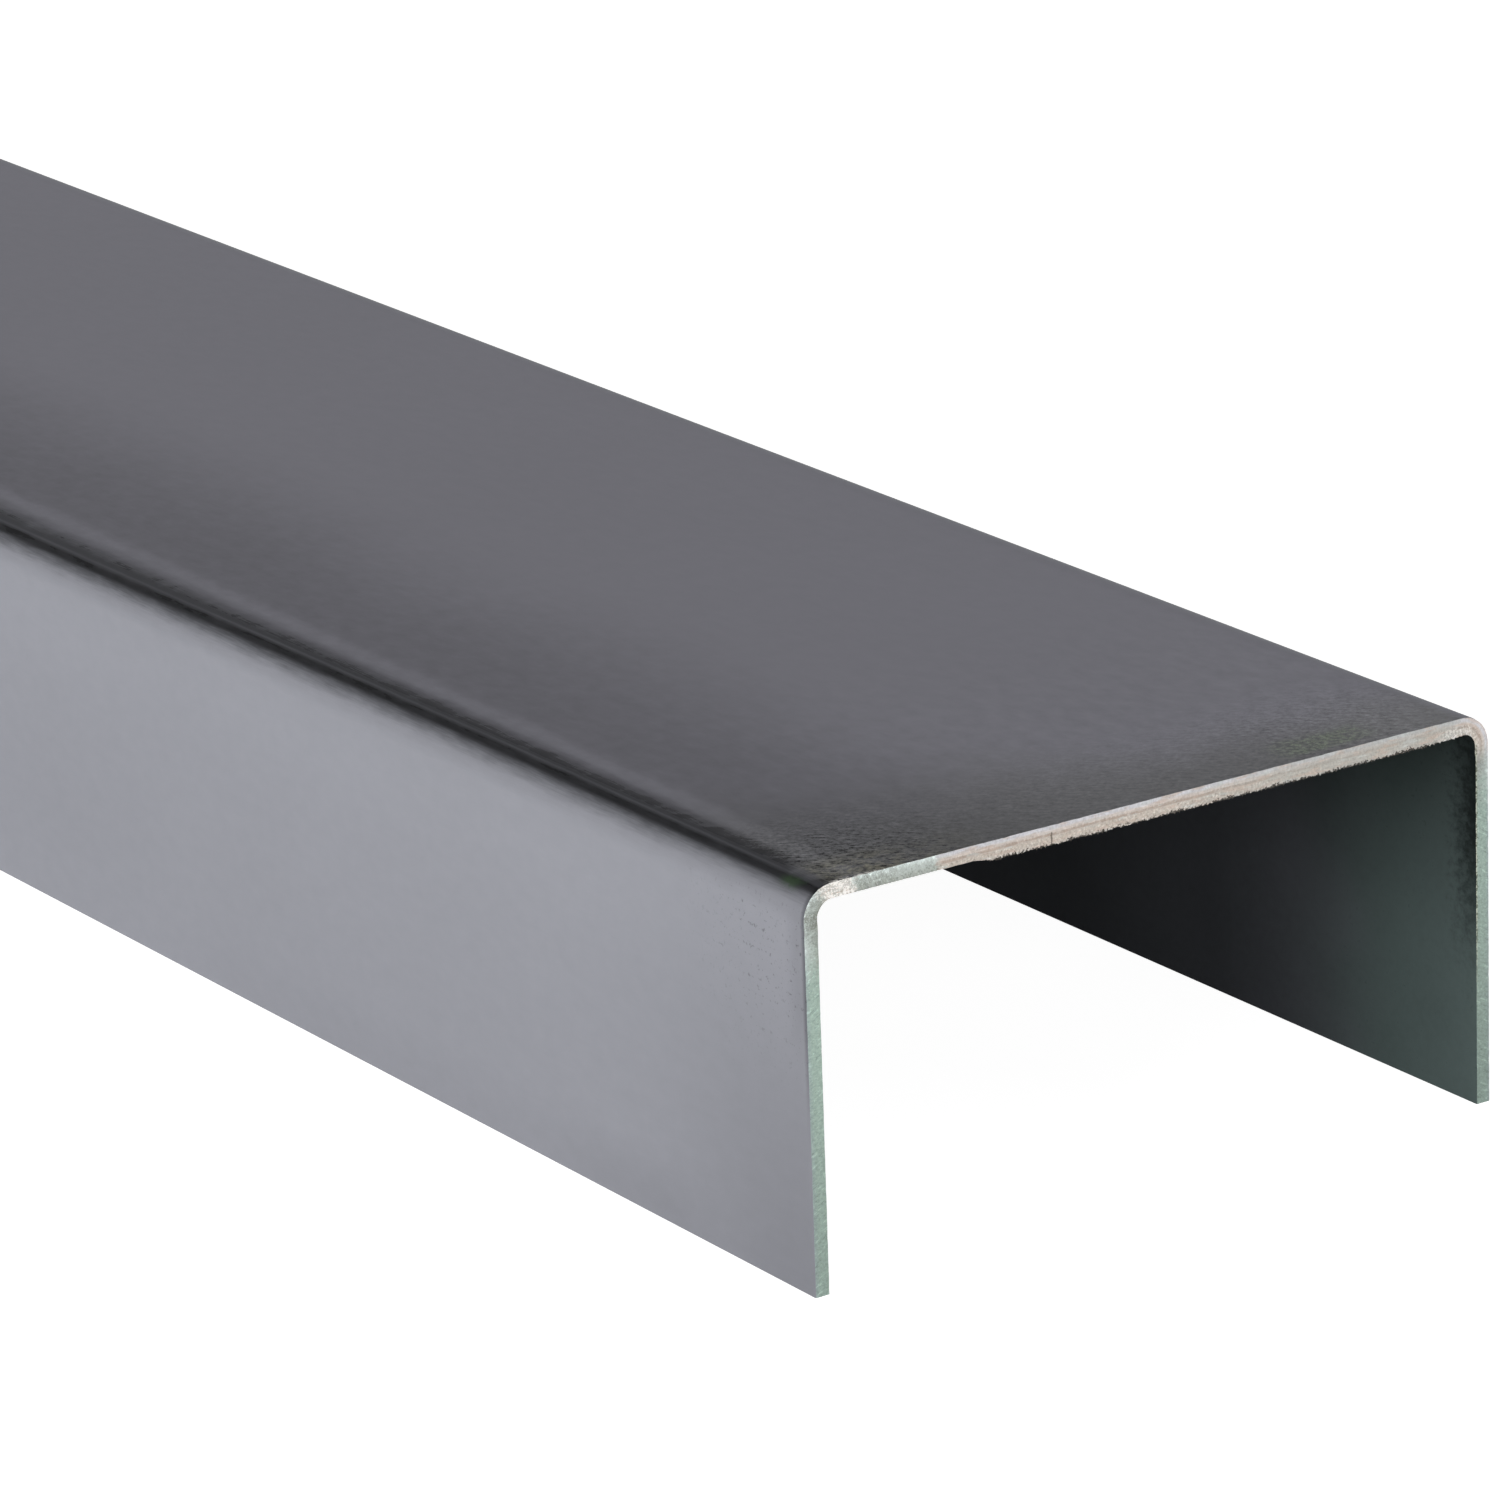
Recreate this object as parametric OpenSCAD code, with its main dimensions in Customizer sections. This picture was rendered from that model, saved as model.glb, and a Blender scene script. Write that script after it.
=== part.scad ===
// Cold-formed steel channel: one strip of sheet, bent twice into a U and cut to length.
// It lies web up on the toes of its flanges, with its length along X and its width along Y.
// The origin is on the floor, under the middle of the web.

/* [Section] */
// Width over the outer faces of the two flanges, in mm
web_width = 100; // [60:5:160]
// Height from the toes of the flanges to the outer face of the web, in mm
flange_height = 50; // [30:5:80]
// Thickness of the sheet, in mm
sheet_thickness = 2; // [1:0.5:4]
// Radius on the inside of each bend, in mm
inner_bend_radius = 2; // [1:0.5:6]

/* [Stock] */
// Length of the cut piece, in mm
stock_length = 1000; // [250:50:3000]

/* [Hidden] */

outer_bend_radius = inner_bend_radius + sheet_thickness;
web_flat = web_width - 2 * outer_bend_radius;
flange_flat = flange_height - outer_bend_radius;
bend_facets = 96;

// Flat strip of the web, between the two bends
module web_strip() {
    translate([-web_flat / 2, flange_height - sheet_thickness])
        square([web_flat, sheet_thickness]);
}

// Quarter ring of sheet that turns the web down into the flange
module bend() {
    translate([web_flat / 2, flange_flat])
        intersection() {
            difference() {
                circle(r = outer_bend_radius, $fn = bend_facets);
                circle(r = inner_bend_radius, $fn = bend_facets);
            }
            square(outer_bend_radius);
        }
}

// Flat strip of the flange, from its toe up to the bend
module flange_strip() {
    translate([web_width / 2 - sheet_thickness, 0])
        square([sheet_thickness, flange_flat]);
}

// One side of the U: a bend and the flange that hangs from it
module side() {
    bend();
    flange_strip();
}

// The whole section of the bent strip, web up
module channel_section() {
    web_strip();
    side();
    mirror([1, 0]) side();
}

// The cut length of channel, its middle over the origin
module channel() {
    color([0.53, 0.53, 0.55])
        rotate([90, 0, 90])
            linear_extrude(height = stock_length, center = true)
                channel_section();
}

channel();
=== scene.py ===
import math

import bpy
from mathutils import Euler, Matrix, Vector


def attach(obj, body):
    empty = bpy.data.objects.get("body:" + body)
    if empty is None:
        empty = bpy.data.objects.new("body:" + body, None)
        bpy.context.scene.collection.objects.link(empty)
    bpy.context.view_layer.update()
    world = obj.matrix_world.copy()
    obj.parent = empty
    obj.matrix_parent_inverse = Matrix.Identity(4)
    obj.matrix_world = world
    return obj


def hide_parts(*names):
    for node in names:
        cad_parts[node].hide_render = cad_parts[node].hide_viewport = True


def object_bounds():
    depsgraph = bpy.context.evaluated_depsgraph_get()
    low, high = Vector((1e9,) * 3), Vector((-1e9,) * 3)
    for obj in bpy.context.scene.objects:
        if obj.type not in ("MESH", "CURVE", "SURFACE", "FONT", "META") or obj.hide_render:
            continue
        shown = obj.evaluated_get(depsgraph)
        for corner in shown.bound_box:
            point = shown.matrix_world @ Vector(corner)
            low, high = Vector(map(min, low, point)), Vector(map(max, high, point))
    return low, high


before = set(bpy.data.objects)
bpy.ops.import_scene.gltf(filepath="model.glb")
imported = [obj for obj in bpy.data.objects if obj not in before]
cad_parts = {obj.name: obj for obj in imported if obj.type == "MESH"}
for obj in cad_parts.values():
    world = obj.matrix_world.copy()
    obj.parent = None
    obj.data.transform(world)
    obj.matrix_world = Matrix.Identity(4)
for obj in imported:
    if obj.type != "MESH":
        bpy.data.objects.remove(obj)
cad_low, cad_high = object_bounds()

# ---------------------------------------------------------------------------------------------------
# The channel: one strip of mild steel, folded twice over a die, with sheared ends.
# Here a flat blank gets its rough cut ends and the torn burr under them, and is then folded by the
# rule that a press brake follows, so that every mark on it follows the sheet.
# ---------------------------------------------------------------------------------------------------

MM = 0.001
TO_MM = 1000
channel_length, channel_width, channel_height = cad_high - cad_low
sheet = 2.0 * MM
inside_radius = 2.0 * MM
middle_radius = inside_radius + sheet / 2
web_half = channel_width / 2 - inside_radius - sheet
arc_length = middle_radius * math.pi / 2
flange_flat = channel_height - inside_radius - sheet
half_blank = web_half + arc_length + flange_flat


class Wire:
    """A socket in a node tree, or the tree alone. Arithmetic on a socket adds Math nodes."""

    def __init__(self, tree, socket=None):
        self.tree = tree
        self.socket = socket

    def node(self, kind, settings=None, values=None, out=0):
        """Adds a node of a type: its settings first, then values or links for its sockets."""
        made = self.tree.nodes.new(kind)
        for name, setting in (settings or {}).items():
            setattr(made, name, setting)
        for key, value in (values or {}).items():
            self.join(value, made.inputs[key])
        return Wire(self.tree, made.outputs[out] if made.outputs else None)

    def join(self, value, socket):
        if isinstance(value, Wire):
            self.tree.links.new(value.socket, socket)
        else:
            socket.default_value = value

    def maths(self, operation, *others):
        return self.node("ShaderNodeMath", {"operation": operation}, dict(enumerate((self, *others))))

    def __add__(self, other):
        return self.maths("ADD", other)

    def __sub__(self, other):
        return self.maths("SUBTRACT", other)

    def __rsub__(self, other):
        return self.maths("MULTIPLY_ADD", -1.0, other)

    def __mul__(self, other):
        return self.maths("MULTIPLY", other)

    def __truediv__(self, other):
        return self.maths("DIVIDE", other)

    def __abs__(self):
        return self.maths("ABSOLUTE")

    __radd__ = __add__
    __rmul__ = __mul__

    def xyz(self):
        """The three parts of a vector."""
        split = self.node("ShaderNodeSeparateXYZ", None, {0: self}).socket.node
        return [Wire(self.tree, output) for output in split.outputs]

    def vector(self, x, y, z):
        return self.node("ShaderNodeCombineXYZ", None, {0: x, 1: y, 2: z})

    def rise(self, low, high):
        """0 up to low, 1 from high on, with a smooth ramp between. It falls where low is above high."""
        values = {"Value": self, 1: min(low, high), 2: max(low, high)}
        values |= {3: 0.0, 4: 1.0} if low < high else {3: 1.0, 4: 0.0}
        return self.node("ShaderNodeMapRange", {"interpolation_type": "SMOOTHSTEP"}, values)

    def hump(self, start, full, still_full, end):
        """0 before start, 1 from full to still_full, and 0 again from end on."""
        return self.rise(start, full) * self.rise(end, still_full)

    def noise(self, x, y, z, detail=3.0, roughness=0.5):
        """Noise around 0, from about -0.5 to 0.5, with waves about one unit long."""
        values = {"Vector": self.vector(x, y, z), "Scale": 1.0, "Detail": detail, "Roughness": roughness}
        return self.node("ShaderNodeTexNoise", None, values) - 0.5

    def mix(self, share, one, other):
        """One colour where share is 0, the other where it is 1."""
        values = {"Factor": share, 6: one, 7: other}
        return self.node("ShaderNodeMix", {"data_type": "RGBA"}, values, out=2)

    def tinted(self, colour, factor):
        """A colour made lighter or darker by a factor."""
        return self.node("ShaderNodeVectorMath", {"operation": "SCALE"}, {0: colour, "Scale": factor})


def steel(name):
    """An empty Principled material, with the place on the flat sheet, in millimetres, to paint by."""
    made = bpy.data.materials.new(name)
    made.use_nodes = True
    tree = Wire(made.node_tree)
    place = tree.node("ShaderNodeAttribute", {"attribute_name": "sheet"}, out="Vector")
    return made, tree, made.node_tree.nodes["Principled BSDF"], [axis * TO_MM for axis in place.xyz()]


# On the flat sheet, in millimetres from its middle: its ends, and where a bend starts and ends.
END = TO_MM * channel_length / 2
BEND = TO_MM * web_half
BEND_END = BEND + TO_MM * arc_length

# Outside: oiled bare steel, satin and a little blue. The folding die left a light rub along both bends.
# At -Y this band is painted far darker as shade, with a painted highlight line and a painted dark
# reflection line in it, and a strip of painted sheen above. The shear left grime and slanting
# scratches on the web, most of them by the left bend of each end.
FLANGE_GREY = (0.235, 0.239, 0.264, 1.0)
WEB_GREY = (0.241, 0.239, 0.272, 1.0)
GRIME_GREY = (0.240, 0.242, 0.249, 1.0)
OILY_OLIVE = (0.270, 0.262, 0.215, 1.0)
DARK_MOSS = (0.085, 0.099, 0.084, 1.0)
PALE_MOSS = (0.236, 0.264, 0.220, 1.0)
CHIPPED_STEEL = (0.64, 0.62, 0.59, 1.0)
GREEN_SPOT = (0.030, 0.055, 0.026, 1.0)

# Where each mark starts, is full, is still full and ends, in millimetres. These lie across the bend,
# counted from its start.
SHEEN_STRIP = (-6.0, -3.4, -2.9, -1.2)
HIGHLIGHT_LINE = (0.75, 0.92, 0.97, 1.12)
DARK_REFLECTION_LINE = (1.05, 1.4, 1.75, 2.3)
SPOT_ON_BEND = (0.8, 1.7, 1.9, 2.8)
# These lie across the web, as seen from outside the nearer end, with the left bend negative.
GRIT_AT_RIGHT = (18.0, 24.0, 38.0, 44.0)
MOSS_ACROSS = (19.0, 24.0, 31.0, 37.0)
CHIPS_ACROSS = (-48.0, -46.0, -41.0, -37.0)
# These are counted from the nearer end.
BAND_NARROWS = (1.0, 3.5, 6.0, 11.0)
MOSS_FROM_END = (1.2, 2.6, 5.0, 8.0)
SPOT_FROM_END = (2.2, 4.4, 5.0, 7.5)

# Places to paint by: across as seen from outside the nearer end, in from that end, past the start of
# the bend, and 1 on the web or on the half at -Y, where the bend's painted light and shade go.
mill_steel, mill, mill_shader, (along, across, _) = steel("bare_steel_mill")
handed = across * along.maths("SIGN")
from_end = END - abs(along)
fold = abs(across) - BEND
on_web = fold.rise(1.0, -1.0)
painted_light_side = across.rise(3.0, -3.0)

# Uneven patterns, each with so many waves to a millimetre: clouds, stains and grit, and then the
# streaks that run along the sheet, across it or aslant.
cloud = mill.noise(along * 0.022, across * 0.022, 4.0)
blotch = mill.noise(along * 0.16, across * 0.11, 3.0, 3.0, 0.6)
grain = mill.noise(along * 0.3, across * 0.45, 12.0, 3.0, 0.6)
grit = mill.noise(along * 1.5, across * 1.2, 1.0, 4.0, 0.8)
lengthwise = mill.noise(along * 0.06, across * 2.4, 0.0)
smear = mill.noise(along * 0.16, across * 1.1, 7.0, 4.0, 0.6)
hairline = mill.noise(along * 0.3 + across * 0.9, across * 7.0, 10.0, 2.0)
feathers = mill.noise((along - across * 0.76) * 0.35, (across + along * 0.8) * 0.1, 16.0, 2.0, 0.5)
slanting = mill.noise(from_end * 1.7 + handed * 1.3, (handed - from_end * 0.8) * 0.3, 0.0, 4.0, 0.7)

# The web is painted darker than the flanges as shade, and most of all beside the bend at -Y.
web_shade = (across + cloud * 14).rise(-2.0, -38.0)
tone = (1.0 - 0.13 * on_web) * (1.0 - 0.31 * web_shade * on_web)

# The bend: painted sheen, a band of die rub and painted shade with a feathered top, two painted lines.
sheen_strip = (fold + smear * 1.2).hump(*SHEEN_STRIP)
# A brighter strip at -Y, painted sheen.
tone = tone * (1.0 + 0.26 * sheen_strip * painted_light_side)
drifted = fold - from_end.rise(50.0, 200.0) * 0.6
worked = drifted + smear * 1.0 + hairline * 0.7
top_edge = worked + feathers * (1.0 + 0.7 * from_end.rise(80.0, 30.0))
top_edge = top_edge - 0.9 * from_end.hump(*BAND_NARROWS)
low_edge = worked + 0.3 * from_end.rise(34.0, 16.0)
rub_and_shade = 0.76 * low_edge.rise(3.9, 1.7) + 0.24 * low_edge.rise(6.0, 3.0)
rub_and_shade = top_edge.rise(-2.3, 0.6) * rub_and_shade
# The band is a faint die rub on both bends and, at -Y, mostly painted shade.
tone = tone * (1.0 - rub_and_shade * (0.10 + 0.74 * painted_light_side))
# A dark line in the bend at -Y, painted as a dark reflection.
dark_reflection = (drifted + smear * 0.35).hump(*DARK_REFLECTION_LINE)
tone = tone * (1.0 - (0.62 + smear) * dark_reflection * painted_light_side)
# A light line in the bend at -Y, painted as a highlight.
highlight_line = (drifted + smear * 0.1).hump(*HIGHLIGHT_LINE) * from_end.rise(4.0, 10.0)
tone = tone * (1.0 + (0.4 + cloud * 0.8) * highlight_line * painted_light_side)

# The shear's marks: grime that reaches furthest in at the left, worn thin at the corner, and grit.
grime_reach = 20.0 + 15.0 * handed.rise(12.0, -12.0) + 10.0 * handed.rise(-30.0, -42.0)
grimy = ((from_end + blotch * 8.0) / grime_reach).rise(1.0, 0.0) * on_web
worn = from_end.rise(7.5, 4.0) * handed.rise(-31.0, -38.0)
tone = tone * (1.0 - grimy * (0.31 - 0.17 * worn) * (1.0 - 0.6 * handed.rise(22.0, 38.0)))
gritty = 1.1 + 2.6 * handed.rise(-20.0, -40.0) + 0.7 * handed.hump(*GRIT_AT_RIGHT)
gritty = gritty * from_end.rise(28.0, 8.0) * on_web
tone = tone * (1.0 + gritty * (grit * 1.1 + slanting * 0.75))

# The rolled sheet's own unevenness, strongest on the web's dark side and near the ends.
grainy = 0.1 + 0.3 * on_web * (1.0 - (1.0 - web_shade) * from_end.rise(20.0, 70.0))
tone = tone * (1.0 + cloud * 0.07 + lengthwise * 0.04 + grain * grainy)

# The flanges: painted shade towards their toes, most near an end, and a little painted highlight under
# the bend, with specks, a painted shadow line along the cut and the flange a little darker beside it.
flange_shade = from_end.rise(44.0, 0.0) * (0.02 + 0.24 * fold.rise(4.0, 58.0))
toe_shade = from_end.hump(16.0, 34.0, 100.0, 160.0) * 0.06
toe_shade = toe_shade + from_end.hump(16.0, 34.0, 44.0, 60.0) * 0.055
flange_shade = flange_shade + fold.rise(40.0, 49.0) * toe_shade
flange_highlight = fold.rise(26.0, 5.0) * 0.06
flange_highlight = flange_highlight + fold.hump(5.0, 12.0, 24.0, 40.0) * from_end.rise(20.0, 60.0) * 0.03
tone = tone * (1.0 + (1.0 - on_web) * (flange_highlight - flange_shade))
specked = from_end.rise(30.0, 4.0) * fold.hump(3.0, 5.0, 10.0, 30.0)
tone = tone * (1.0 - 0.5 * (grit + lengthwise * 0.3).rise(0.07, 0.17) * specked)
# A thin dark line along the cut's edge, painted shadow.
edge_shadow = from_end.rise(0.9, 0.2) * fold.hump(0.0, 3.0, 14.0, 34.0)
beside_edge = from_end.rise(4.5, 1.5) * fold.hump(3.0, 5.0, 14.0, 24.0)
tone = tone * (1.0 - 0.45 * edge_shadow) * (1.0 - 0.13 * beside_edge)

olive = grimy * handed.rise(-20.0, -40.0) * from_end.rise(9.0, 3.0) * (grit + blotch).rise(-0.15, 0.08)
mossy = (handed + blotch * 10).hump(*MOSS_ACROSS) * (from_end + blotch * 4).hump(*MOSS_FROM_END)
mossy = mossy * (grit + slanting).rise(-0.15, 0.1)
chipped = from_end.rise(0.7, 0.2) * handed.hump(*CHIPS_ACROSS) * on_web * (grit + slanting).rise(0.0, 0.08)
green_spot = (from_end + smear * 3).hump(*SPOT_FROM_END) * handed.rise(0.0, -1.0)
green_spot = green_spot * (fold + grit * 2).hump(*SPOT_ON_BEND)

mill_colour = mill.mix(on_web, FLANGE_GREY, WEB_GREY)
mill_colour = mill.mix(grimy * 0.9, mill_colour, GRIME_GREY)
mill_colour = mill.mix(olive, mill_colour, OILY_OLIVE)
mill_colour = mill.tinted(mill_colour, tone)
mill_colour = mill.mix(mossy, mill_colour, mill.mix(grit.rise(-0.12, 0.14), DARK_MOSS, PALE_MOSS))
mill_colour = mill.mix(chipped, mill_colour, CHIPPED_STEEL)
mill_colour = mill.mix(green_spot * 0.65, mill_colour, GREEN_SPOT)
mill.join(mill_colour, mill_shader.inputs["Base Color"])
mill.join(0.44 + cloud * 0.12 + grimy * 0.16 + lengthwise * 0.08, mill_shader.inputs["Roughness"])
mill_shader.inputs["Metallic"].default_value = 0.3
mill_shader.inputs["Specular IOR Level"].default_value = 0.03
mill_shader.inputs["Specular Tint"].default_value = (0.25, 0.25, 0.26, 1.0)
mill_height = lengthwise * 0.4 + (slanting + grit) * gritty * 0.4
mill_bump = {"Strength": 0.3, "Distance": 0.05 * MM, "Height": mill_height}
mill.join(mill.node("ShaderNodeBump", None, mill_bump), mill_shader.inputs["Normal"])

# Inside: the face that no tool touched keeps its dull dark scale, a little green near the ends, its
# colours partly painted shade, and painted shade makes it darker towards the bends and further in
# from the ends. A black crust clings along the cut, on the upper half of each flange, darkened by
# the corner's painted shade.
# The scale's colours, partly painted shade.
GREEN_SCALE_SHADED = (0.052, 0.069, 0.067, 1.0)
BLUE_SCALE_SHADED = (0.062, 0.066, 0.074, 1.0)

inner_steel, inner, inner_shader, (along, across, _) = steel("bare_steel_inside")
from_end = END - abs(along)
below_bend = abs(across) - BEND_END
cloud = inner.noise(along * 0.06, across * 0.06, 9.0, 4.0)
crust = inner.noise(along * 0.8, across * 0.8, 2.0, 4.0, 0.7)
# Crust near the cut and the bends, painted black together with the corner's shade.
crust_and_shade = (from_end + crust * 9.0).rise(6.0, 0.0) * (below_bend + crust * 16).rise(34.0, 8.0)
deep = (from_end + cloud * 20).rise(14.0, 42.0)
spots = (crust + cloud * 0.4).rise(0.1, 0.2) * (1.0 - deep)
# Painted shade, darker further in from the ends and towards the bends.
depth_shade = 0.42 * from_end.rise(58.0, 88.0) + 0.15 * from_end.hump(20.0, 32.0, 38.0, 50.0)
inner_tone = (0.5 + 0.5 * below_bend.rise(-1.0, 32.0)) * (1.06 - depth_shade)
inner_tone = inner_tone * (1.0 + cloud * 0.4 + crust * 0.3 - 0.25 * spots)
inner_colour = inner.mix(deep, GREEN_SCALE_SHADED, BLUE_SCALE_SHADED)
inner_colour = inner.tinted(inner_colour, inner_tone * (1.0 - 0.8 * crust_and_shade))
inner.join(inner_colour, inner_shader.inputs["Base Color"])
inner.join(0.66 + crust * 0.1, inner_shader.inputs["Roughness"])
inner_shader.inputs["Metallic"].default_value = 0.05
inner_shader.inputs["Specular IOR Level"].default_value = 0.03
inner_shader.inputs["Specular Tint"].default_value = (0.3, 0.3, 0.3, 1.0)
inner_bump = {"Strength": 0.3, "Distance": 0.1 * MM, "Height": crust * crust_and_shade}
inner.join(inner.node("ShaderNodeBump", None, inner_bump), inner_shader.inputs["Normal"])

# Cut: torn steel. On the web it is pale and warm in layers, with a brown one near the bottom and
# crumbs below, and its silver top layer is partly a painted highlight. The flanges' ends and the web
# beside the left bend are grey green with short slanting shear marks and a pale rim along the top,
# painted highlight, and the left bend has a cracked whitish patch.
LOWER_CREAM = (0.59, 0.525, 0.475, 1.0)
UPPER_SILVER_HIGHLIGHT = (0.585, 0.58, 0.61, 1.0)
BROWN_LAYER = (0.37, 0.295, 0.245, 1.0)
CRUMB_TAN = (0.525, 0.47, 0.415, 1.0)
CRUMB_LIGHT = (0.76, 0.72, 0.67, 1.0)
CRUMB_DARK = (0.25, 0.205, 0.165, 1.0)
DULL_GREY = (0.385, 0.395, 0.37, 1.0)
RUST_STAIN = (0.52, 0.415, 0.35, 1.0)
GREEN_STAIN = (0.54, 0.575, 0.565, 1.0)
LOWER_GREY_GREEN = (0.385, 0.415, 0.38, 1.0)
UPPER_GREY_GREEN = (0.50, 0.55, 0.52, 1.0)
RIM_HIGHLIGHT_GREEN = (0.66, 0.73, 0.71, 1.0)
FLANGE_GREEN = (0.345, 0.445, 0.39, 1.0)
FLANGE_RIM_GREEN = (0.34, 0.42, 0.40, 1.0)
PIT_GREEN = (0.19, 0.21, 0.175, 1.0)
PATCH_WHITE = (0.95, 0.92, 0.88, 1.0)
PATCH_TAN = (0.62, 0.50, 0.42, 1.0)
CRACK_GREEN = (0.14, 0.14, 0.105, 1.0)
BRIGHT_CRUMB = (0.74, 0.72, 0.68, 1.0)
GRIME_BROWN = (0.12, 0.10, 0.08, 1.0)
CRUST_DARK = (0.10, 0.11, 0.075, 1.0)
CRUST_PALE = (0.56, 0.57, 0.46, 1.0)
FRINGE_BLACK = (0.03, 0.025, 0.02, 1.0)

# Where each mark starts, is full, is still full and ends. The first is counted through the sheet and
# the others across it, as seen from outside the end, in millimetres.
BROWN_THROUGH = (-0.42, -0.25, -0.05, 0.12)
PATCH = (-48.2, -46.8, -43.6, -42.3)
CRACKED = (-54.0, -50.0, -40.0, -33.0)
SPLIT = (-15.18, -15.06, -14.94, -14.82)
BRIGHT_CRUMBS = (41.0, 44.5, 47.0, 49.0)

cut_steel, cut, cut_shader, (along, across, through) = steel("bare_steel_cut")
handed = across * along.maths("SIGN")
reach = abs(across)
below_bend = reach - BEND_END
wavy = cut.noise(across * 0.12, 0.0, 8.0, 2.0)
streaky = cut.noise(across * 0.3, through * 5.0, 1.0, 4.0, 0.7)
mottle = cut.noise(across * 0.7, through * 0.7, 5.0, 3.0, 0.6)
stained = cut.noise(across * 0.28, through * 1.6, 14.0, 3.0, 0.6)
crumb = cut.noise(across * 3.2, through * 2.2, along * 2.0, 3.0, 0.8)
grains = cut.noise(across * 3.0, through * 3.0, along * 2.0 + 5.0, 2.0, 0.7)
marks = cut.noise((reach - through * 0.55) * 2.3, through * 0.7 + mottle * 2, 0.0, 3.0, 0.7)

# The warm part: layers, crumbs along the bottom, dull towards the right, and stains.
layer = through + wavy * 0.5 + streaky * 0.4 + crumb * 0.3
brown = layer.hump(*BROWN_THROUGH) * (mottle + streaky).rise(-0.3, 0.05)
crumbled = layer.rise(-0.2, -0.5)
dulled = (handed + mottle * 30).rise(0.0, 26.0) * handed.rise(BEND + 1.5, BEND - 2.0)
# The upper layers are silver, partly a painted highlight along the top edge.
warm_colour = cut.mix(layer.rise(0.2, 0.65), LOWER_CREAM, UPPER_SILVER_HIGHLIGHT)
warm_colour = cut.mix(brown * 0.85, warm_colour, BROWN_LAYER)
warm_colour = cut.mix(crumbled, warm_colour, CRUMB_TAN)
warm_colour = cut.mix(crumbled * grains.rise(0.02, 0.17) * 0.7, warm_colour, CRUMB_LIGHT)
warm_colour = cut.mix(crumbled * grains.rise(-0.03, -0.2) * 0.6, warm_colour, CRUMB_DARK)
warm_colour = cut.mix(dulled * 0.6, warm_colour, DULL_GREY)
warm_colour = cut.mix(stained.rise(0.02, 0.14) * 0.6, warm_colour, RUST_STAIN)
warm_colour = cut.mix(stained.rise(-0.06, -0.16) * 0.5, warm_colour, GREEN_STAIN)
warm_colour = cut.tinted(warm_colour, 1.0 + crumb * 0.9 + streaky * 0.5)

# The cool part: grey green with a pale upper rim of painted highlight, greener down the flanges,
# shear marks and pits.
upper_rim_highlight = (through + grains * 0.3 + mottle * 0.4).rise(0.2, 0.9)
flange_colour = cut.mix(through.rise(0.3, 0.9), FLANGE_GREEN, FLANGE_RIM_GREEN)
cool_colour = cut.mix(through.rise(-0.9, 0.2), LOWER_GREY_GREEN, UPPER_GREY_GREEN)
cool_colour = cut.mix(upper_rim_highlight, cool_colour, RIM_HIGHLIGHT_GREEN)
cool_colour = cut.mix((below_bend + mottle * 8).rise(1.0, 9.0), cool_colour, flange_colour)
cool_tone = 1.0 - 0.22 * below_bend.rise(10.0, 44.0) - 0.2 * below_bend.hump(-3.0, 0.0, 1.5, 5.0)
cool_tone = cool_tone - 0.12 * handed.rise(BEND_END - 1.0, BEND_END + 2.0)
shear_marks = marks.rise(0.07, 0.15) * 0.42 - marks.rise(-0.07, -0.17) * 0.25
cool_colour = cut.tinted(cool_colour, cool_tone * (1.0 + shear_marks + crumb * 1.1))
pitted = (grains + mottle * 0.4).rise(0.03, -0.25) * below_bend.rise(9.0, 2.0) * through.rise(1.2, -0.4)
cool_colour = cut.mix(pitted * 0.75, cool_colour, PIT_GREEN)

# The two meet on the web near its left bend, and again round the right one.
warm = (handed + streaky * 3 + mottle * 2).rise(-31.8, -30.8) * handed.rise(BEND_END + 3.0, BEND_END - 1.0)
cut_colour = cut.mix(warm, cool_colour, warm_colour)

# The left bend's patch and its cracks, and the bright crumbs inside the right bend.
patch = (handed + mottle * 2.0 + crumb * 3.0).hump(*PATCH)
patch_colour = cut.mix((streaky + grains * 0.5).rise(0.0, 0.2), PATCH_WHITE, PATCH_TAN)
cut_colour = cut.mix(patch * 0.95, cut_colour, patch_colour)
cracks = abs(mottle + grains * 0.7).rise(0.1, 0.0) * handed.hump(*CRACKED)
crack_strength = 0.5 + 0.3 * handed.rise(-49.0, -52.0)
cut_colour = cut.mix(cracks * crack_strength, cut_colour, CRACK_GREEN)
bright_crumbs = handed.hump(*BRIGHT_CRUMBS) * through.rise(0.3, -0.4) * crumb.rise(-0.05, 0.12)
cut_colour = cut.mix(bright_crumbs, cut_colour, BRIGHT_CRUMB)

# Grime in one split and in the deepest grains, the inside's crust on the right flange's edge, and a
# black fringe along the very bottom.
split = (handed + streaky * 0.4).hump(*SPLIT) * through.rise(0.25, -0.05)
grime = (split + grains.rise(0.24, 0.3) * 0.7).rise(0.0, 1.0)
cut_colour = cut.mix(grime * 0.8, cut_colour, GRIME_BROWN)
inside_edge = (through + grains * 0.6).rise(-0.65, -0.85) * handed.rise(BEND_END - 2.0, BEND_END + 2.0)
inside_edge = inside_edge * below_bend.rise(36.0, 20.0)
edge_colour = cut.mix(grains.rise(-0.06, 0.04), CRUST_DARK, CRUST_PALE)
cut_colour = cut.mix(inside_edge * 0.8, cut_colour, edge_colour)
fringe = (through + grains * 1.2 + mottle * 0.9 + wavy * 0.8).rise(-1.24, -1.42)
cut_colour = cut.mix(fringe * 0.95, cut_colour, FRINGE_BLACK)
cut.join(cut_colour, cut_shader.inputs["Base Color"])
cut.join(0.62 + crumb * 0.3, cut_shader.inputs["Roughness"])
cut_shader.inputs["Metallic"].default_value = 0.1
cut_shader.inputs["Specular IOR Level"].default_value = 0.2
cut_height = crumb * 0.8 + streaky * 0.4 + grains * 0.6 + marks * 0.4
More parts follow.
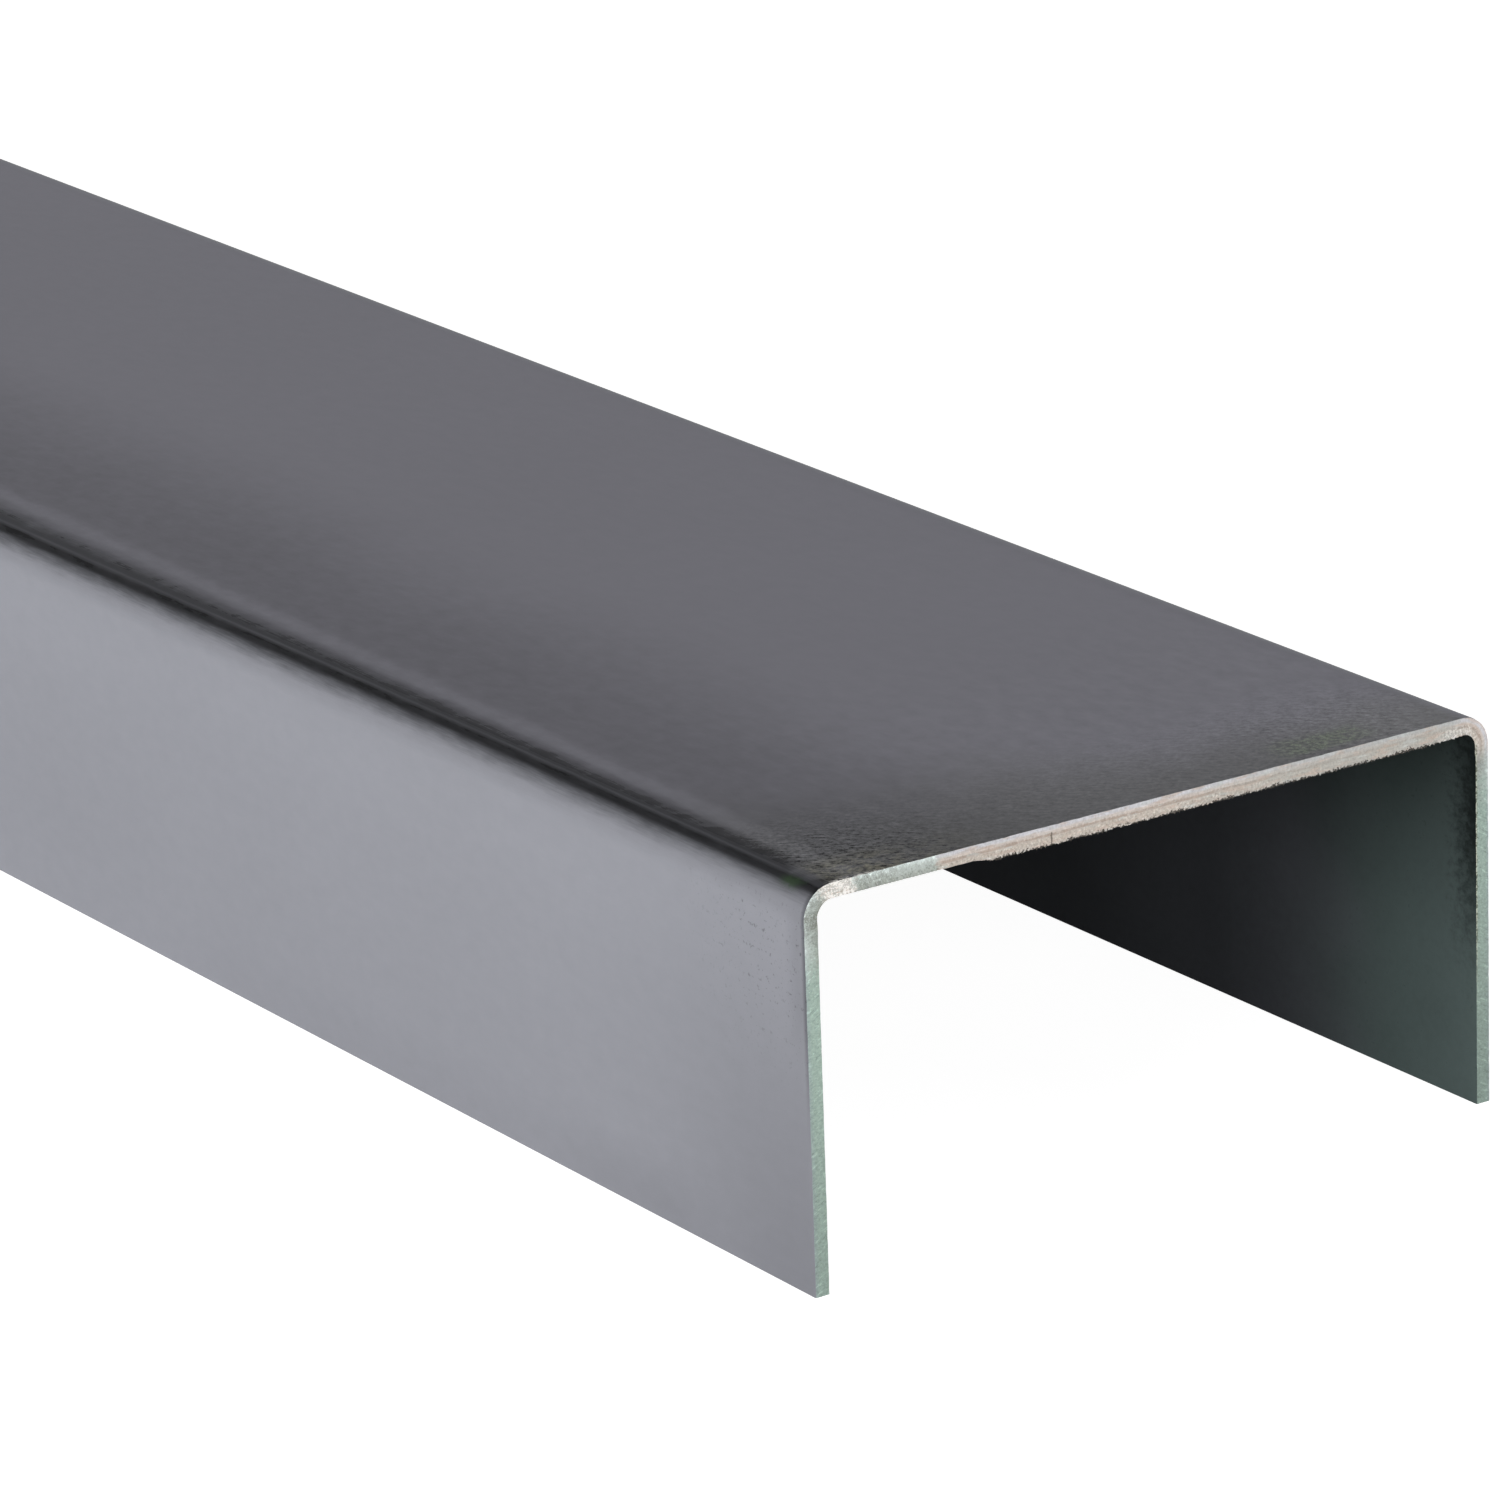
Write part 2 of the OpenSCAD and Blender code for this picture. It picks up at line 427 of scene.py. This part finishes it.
cut_bump = {"Strength": 0.5, "Distance": 0.15 * MM, "Height": cut_height}
cut.join(cut.node("ShaderNodeBump", None, cut_bump), cut_shader.inputs["Normal"])

# The strip's own tree: its inputs, each with a name and a value.
strip_tree = bpy.data.node_groups.new("folded_strip", "GeometryNodeTree")
strip_tree.is_modifier = True
strip_inputs = {
    "Half length": ("NodeSocketFloat", channel_length / 2),
    "Half blank": ("NodeSocketFloat", half_blank),
    "Web half": ("NodeSocketFloat", web_half),
    "Height": ("NodeSocketFloat", channel_height),
    "Sheet": ("NodeSocketFloat", sheet),
    "Middle radius": ("NodeSocketFloat", middle_radius),
    "Stations": ("NodeSocketInt", 77),
    "Columns": ("NodeSocketInt", 331),
    "Layers": ("NodeSocketInt", 9),
    "Burr stations": ("NodeSocketInt", 3),
    "Burr columns": ("NodeSocketInt", 1000),
    "Burr layers": ("NodeSocketInt", 6),
    "Seed": ("NodeSocketFloat", 2.0),
    "Mill finish": ("NodeSocketMaterial", mill_steel),
    "Inner finish": ("NodeSocketMaterial", inner_steel),
    "Cut finish": ("NodeSocketMaterial", cut_steel),
}
identifiers = {}
for name, (kind, value) in strip_inputs.items():
    socket = strip_tree.interface.new_socket(name, in_out="INPUT", socket_type=kind)
    identifiers[name] = socket.identifier
strip_tree.interface.new_socket("Mesh", in_out="OUTPUT", socket_type="NodeSocketGeometry")

strip = Wire(strip_tree)
outputs = strip.node("NodeGroupInput").socket.node.outputs
given = {name: Wire(strip_tree, outputs[name]) for name in strip_inputs}
half_length = given["Half length"]
half_sheet = given["Sheet"] * 0.5
seed = given["Seed"]


def block(stations, columns, layers):
    """A cube from -1 to 1, cut into that many rows of points each way."""
    values = {"Size": (2.0, 2.0, 2.0)}
    values |= {"Vertices X": stations, "Vertices Y": columns, "Vertices Z": layers}
    return strip.node("GeometryNodeMeshCube", None, values)


def placed(mesh, x, y, z):
    values = {"Geometry": mesh, "Position": strip.vector(x, y, z)}
    return strip.node("GeometryNodeSetPosition", None, values)


# The blank, flat: X along its length, Y across its developed width, Z through the sheet. A block's own
# u, v and w run from -1 to 1. The rows of points close up towards the ends, where the relief is.
CROWDING = 2.4
u, v, w = strip.node("GeometryNodeInputPosition").xyz()
toward = u.maths("SIGN")
inset = (1.0 - abs(u)).maths("POWER", CROWDING) * half_length
across = v * given["Half blank"]
through = w * half_sheet

# The cut face: ridges of the blade slant over the flanges' ends, and the web's end is torn in layers.
# Places on the blank are in metres, so its noises have so many waves to a metre.
TEAR_REACH = 0.3 * MM
TEAR_DEPTH = 0.16 * MM
RIDGE_SLANT = 1.4
over_flange = abs(across).rise(web_half, web_half + arc_length)
ridges = strip.noise((across + through * RIDGE_SLANT) * 900, through * 160, toward * 7 + seed, 2.0)
torn = strip.noise(across * 420, through * 1500, toward * 5 + seed, 3.0)
cut_relief = 0.5 + ridges * over_flange + torn * (1.0 - over_flange)
hollow = cut_relief * inset.rise(TEAR_REACH, 0.0) * TEAR_DEPTH

# The corners of the cut are rolled over a little, and more where the blade left nicks.
CORNER_REACH = 0.25 * MM
nicks = strip.noise(across * 900, through * 300, toward * 3 + seed, 3.0).rise(0.0, 0.22)
rolled = inset.rise(CORNER_REACH, 0.0) * (0.04 + 0.05 * nicks)

# The flats wander by a few hundredths of a millimetre, as rolled sheet does.
MOST_WANDER = 0.03 * MM
wander = 0.5 + strip.noise(toward * (half_length - inset) * 9, across * 22, seed, 1.0)
settled = through * (1.0 - rolled) - through.maths("SIGN") * wander * MOST_WANDER
blank = block(given["Stations"], given["Columns"], given["Layers"])
blank = placed(blank, toward * (half_length - inset - hollow), across, settled)

# The burr: a fringe of torn metal under the web's cut edge, running a little way round the right bend.
BURR_ROOT = 0.4 * MM
BURR_THICK = 0.26 * MM
BURR_INSET = 0.03 * MM
BURR_CURL = 0.16 * MM
BURR_SHORTEST = 0.3 * MM
BURR_UNEVEN = 0.16 * MM
BURR_TEETH = 0.4 * MM
BURR_THINNING = 0.55
ROOT_SHARE = 0.25
ROOT_SUNK = 0.2 * MM
# Where it starts, is full, is still full and ends across the blank, as seen from outside the end.
BURR_SPAN = (-26 * MM, -23 * MM, 40 * MM, 52 * MM)


def torn_burr(end, end_seed):
    """The burr at one end of the blank, still flat, its root sunk behind the cut face. The end is
    1 at +X and -1 at -X."""
    start, _, _, stop = BURR_SPAN
    where = v * ((stop - start) / 2) + (start + stop) / 2
    coarse = strip.noise(where * 320, seed + end_seed, 0.0, 2.0)
    spikes = strip.noise(where * 3300, seed + end_seed + 3.0, 0.0, 2.0, 0.7).rise(-0.15, 0.3)
    hang = BURR_SHORTEST + coarse.rise(-0.2, 0.2) * BURR_UNEVEN + spikes * BURR_TEETH
    hang = hang * where.hump(*BURR_SPAN)
    depth = (1.0 - w) * 0.5
    behind = (1.0 - u) * 0.5 * (1.0 - BURR_THINNING * depth) * BURR_THICK
    curl = 0.5 + strip.noise(where * 900, depth * 2.0, seed + end_seed + 9.0, 2.0)
    curl = curl * depth * BURR_CURL
    lies_at = BURR_ROOT * (1.0 - depth) - half_sheet - depth * hang
    buried = (ROOT_SHARE - depth).maths("MAXIMUM", 0.0) * (ROOT_SUNK / ROOT_SHARE)
    stands_at = half_length - BURR_INSET - behind - curl - buried
    teeth = block(given["Burr stations"], given["Burr columns"], given["Burr layers"])
    return placed(teeth, stands_at * end, where * end, lies_at)


joined = strip.node("GeometryNodeJoinGeometry")
for part in (torn_burr(1.0, 0.0), torn_burr(-1.0, 29.0), blank):
    strip.join(part, joined.socket.node.inputs[0])

# The flat strip remembers where each point lies on it, in metres, and is then folded: straight across
# the web, round the arc, and straight down the flange. Steel nearer the outside goes a longer way.
place = strip.node("GeometryNodeInputPosition")
on_points = {"data_type": "FLOAT_VECTOR", "domain": "POINT"}
remembered = {"Geometry": joined, "Name": "sheet", "Value": place}
marked = strip.node("GeometryNodeStoreNamedAttribute", on_points, remembered)
along, across, through = place.xyz()
beyond = abs(across) - given["Web half"]
quarter = given["Middle radius"] * (math.pi / 2)
turned = (beyond / given["Middle radius"]).maths("MAXIMUM", 0.0).maths("MINIMUM", math.pi / 2)
down_flange = (beyond - quarter).maths("MAXIMUM", 0.0)
on_flat = abs(across).maths("MINIMUM", given["Web half"])
radius = given["Middle radius"] + through
folded_y = across.maths("SIGN") * (on_flat + radius * turned.maths("SINE"))
bend_centre = given["Height"] - half_sheet - given["Middle radius"]
folded_z = bend_centre + radius * turned.maths("COSINE") - down_flange
folded = placed(marked, along, folded_y, folded_z)

# What faces an end is cut. The rest of the inner half is the inside, and the outer half is the mill's.
CUT_REACH = 0.9 * MM
FACES_AN_END = 0.6
INNER_SHARE = -0.3
recall = strip.node("GeometryNodeInputNamedAttribute", {"data_type": "FLOAT_VECTOR"}, {"Name": "sheet"})
is_inside = recall.xyz()[2].maths("LESS_THAN", given["Sheet"] * INNER_SHARE)
end_facing = abs(strip.node("GeometryNodeInputNormal").xyz()[0]).maths("GREATER_THAN", FACES_AN_END)
is_cut = end_facing * abs(along).maths("GREATER_THAN", half_length - CUT_REACH)
finished = strip.node("GeometryNodeRealizeInstances", None, {"Geometry": folded})
for chosen, finish in ((True, "Mill finish"), (is_inside, "Inner finish"), (is_cut, "Cut finish")):
    values = {"Geometry": finished, "Selection": chosen, "Material": given[finish]}
    finished = strip.node("GeometryNodeSetMaterial", None, values)
strip.node("NodeGroupOutput", None, {"Mesh": finished})

# The tree is run once, and its result becomes a plain mesh with its corners sharp.
SHARP_ANGLE = 38
strip_maker = bpy.data.objects.new("strip_maker", bpy.data.meshes.new("strip_maker"))
bpy.context.scene.collection.objects.link(strip_maker)
folding = strip_maker.modifiers.new("folded_strip", "NODES")
folding.node_group = strip_tree
for name, (_, value) in strip_inputs.items():
    folding[identifiers[name]] = value
made = strip_maker.evaluated_get(bpy.context.evaluated_depsgraph_get())
channel_mesh = bpy.data.meshes.new_from_object(made)
bpy.data.objects.remove(strip_maker)
channel_mesh.name = "channel_steel"
channel_mesh.shade_smooth()
channel_mesh.set_sharp_from_angle(angle=math.radians(SHARP_ANGLE))
channel_steel = bpy.data.objects.new("channel_steel", channel_mesh)
bpy.context.scene.collection.objects.link(channel_steel)
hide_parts("channel")
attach(channel_steel, "root")

# ---------------------------------------------------------------------------------------------------
# The studio: a pale floor that keeps a soft shadow, an even pale surround, and soft lamps low at the
# front, at both cut ends and behind, which catch the flanges and the cut more than the web.
# ---------------------------------------------------------------------------------------------------

FLOOR_HALF = 30.0
FLOOR_GAP = 0.05 * MM
floor_mesh = bpy.data.meshes.new("floor")
corners = [(-FLOOR_HALF, -FLOOR_HALF, 0), (FLOOR_HALF, -FLOOR_HALF, 0)]
corners += [(FLOOR_HALF, FLOOR_HALF, 0), (-FLOOR_HALF, FLOOR_HALF, 0)]
floor_mesh.from_pydata(corners, [], [(0, 1, 2, 3)])
floor = bpy.data.objects.new("floor", floor_mesh)
bpy.context.scene.collection.objects.link(floor)
floor.location.z = cad_low.z - FLOOR_GAP


def shows_background(tree):
    """1 for the rays that should meet the white background: camera, glossy and transmission rays."""
    rays = tree.node("ShaderNodeLightPath").socket.node.outputs
    kinds = ("Is Camera Ray", "Is Glossy Ray", "Is Transmission Ray")
    camera_ray, glossy_ray, transmission_ray = (Wire(tree.tree, rays[kind]) for kind in kinds)
    return camera_ray.maths("MAXIMUM", glossy_ray).maths("MAXIMUM", transmission_ray)


WHITE = (1.0, 1.0, 1.0, 1.0)
FLOOR_GREY = (0.8, 0.8, 0.8, 1.0)
SHADOW_GREY = (0.4, 0.4, 0.4, 1.0)
FLOOR_GLOW = 0.95
floor_finish = bpy.data.materials.new("floor")
floor_finish.use_nodes = True
floor_finish.node_tree.nodes.clear()
floor_nodes = Wire(floor_finish.node_tree)
matte = floor_nodes.node("ShaderNodeBsdfDiffuse", None, {"Color": FLOOR_GREY})
shadow_keeper = floor_nodes.node("ShaderNodeBsdfDiffuse", None, {"Color": SHADOW_GREY})
glow = floor_nodes.node("ShaderNodeEmission", None, {"Color": WHITE, "Strength": FLOOR_GLOW})
shown = floor_nodes.node("ShaderNodeAddShader", None, {0: shadow_keeper, 1: glow})
background_ray = shows_background(floor_nodes)
shown = floor_nodes.node("ShaderNodeMixShader", None, {0: background_ray, 1: matte, 2: shown})
from_below = floor_nodes.node("ShaderNodeNewGeometry", out="Backfacing")
clear = floor_nodes.node("ShaderNodeBsdfTransparent")
shown = floor_nodes.node("ShaderNodeMixShader", None, {0: from_below, 1: shown, 2: clear})
floor_nodes.node("ShaderNodeOutputMaterial", None, {"Surface": shown})
floor_mesh.materials.append(floor_finish)

SURROUND = 0.14
studio = bpy.data.worlds.new("studio")
studio.use_nodes = True
studio.node_tree.nodes.clear()
bpy.context.scene.world = studio
air_nodes = Wire(studio.node_tree)
strength = SURROUND + (1.0 - SURROUND) * shows_background(air_nodes)
air = air_nodes.node("ShaderNodeBackground", None, {"Color": WHITE, "Strength": strength})
air_nodes.node("ShaderNodeOutputWorld", None, {"Surface": air})


def lamp(name, toward, strength, softness):
    """A distant soft lamp that shines along a direction. Its softness is its width in degrees."""
    light = bpy.data.lights.new(name, "SUN")
    light.energy = strength
    light.angle = math.radians(softness)
    made = bpy.data.objects.new(name, light)
    made.rotation_euler = Vector(toward).to_track_quat("-Z", "Y").to_euler()
    bpy.context.scene.collection.objects.link(made)


lamp("front", (-0.20, 0.95, -0.17), 4.1, 34)
lamp("at_the_cut", (-0.95, 0.20, -0.12), 1.5, 50)
lamp("behind", (-0.45, -0.85, -0.14), 1.4, 50)
lamp("far_end", (0.98, -0.10, -0.02), 0.9, 30)

# The camera stands back with a long lens, looking down along the channel from beside its +X end.
AZIMUTH = 56.34
ELEVATION = 18.49
ROLL = -2.0
BEYOND_END = 0.7004
BESIDE = -0.5229
EYE_HEIGHT = 0.3495
camera_data = bpy.data.cameras.new("camera")
camera_data.lens = 190
camera_data.sensor_width = 36
camera_data.clip_start = 0.01
camera_data.clip_end = 100
camera = bpy.data.objects.new("camera", camera_data)
camera.location = (cad_high.x + BEYOND_END, BESIDE, EYE_HEIGHT)
aim = Euler((math.radians(90 - ELEVATION), 0.0, math.radians(AZIMUTH)), "XYZ").to_matrix()
camera.rotation_euler = (aim @ Matrix.Rotation(math.radians(ROLL), 3, "Z")).to_euler()
bpy.context.scene.collection.objects.link(camera)
bpy.context.scene.camera = camera
bpy.context.scene.view_settings.view_transform = "Standard"
